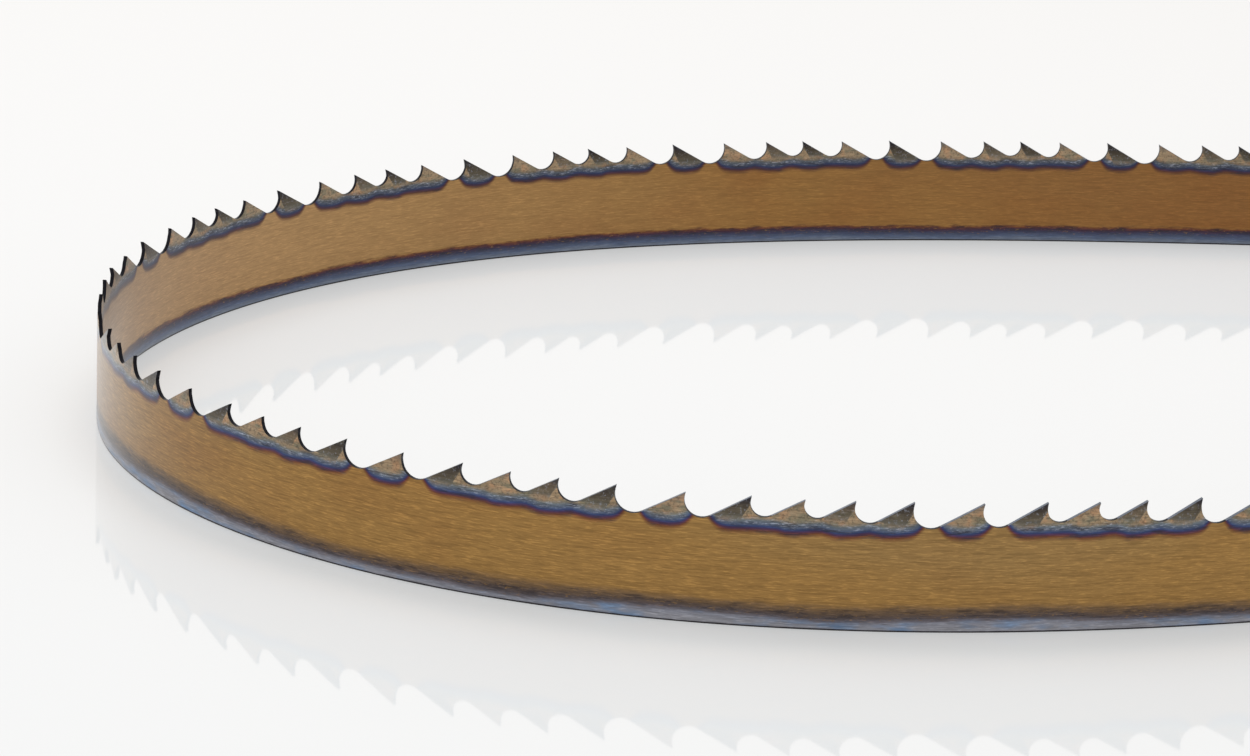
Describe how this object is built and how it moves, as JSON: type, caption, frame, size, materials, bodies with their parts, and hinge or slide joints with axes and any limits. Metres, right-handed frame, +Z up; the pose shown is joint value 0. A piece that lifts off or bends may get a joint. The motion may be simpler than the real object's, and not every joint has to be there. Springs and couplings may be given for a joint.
{
  "type": "band saw blade",
  "caption": "Endless steel band saw blade standing on its back edge as an oval loop, with set hook teeth of varied pitch along its top edge",
  "frame": {"origin": "centre of the oval loop's bounding box, on the plane that the back edge stands on", "axes": "+X along the loop's long axis towards its narrower end, +Z up from the back edge to the tooth tips; seen from above the teeth point counter-clockwise"},
  "size_m": [0.6887, 0.364, 0.034],
  "materials": {
    "tempered_steel": "satin bronze temper colour, blue along the back edge and under the teeth"
  },
  "bodies": {
    "root": {"saw_band": "tempered_steel"}
  },
  "joints": []
}
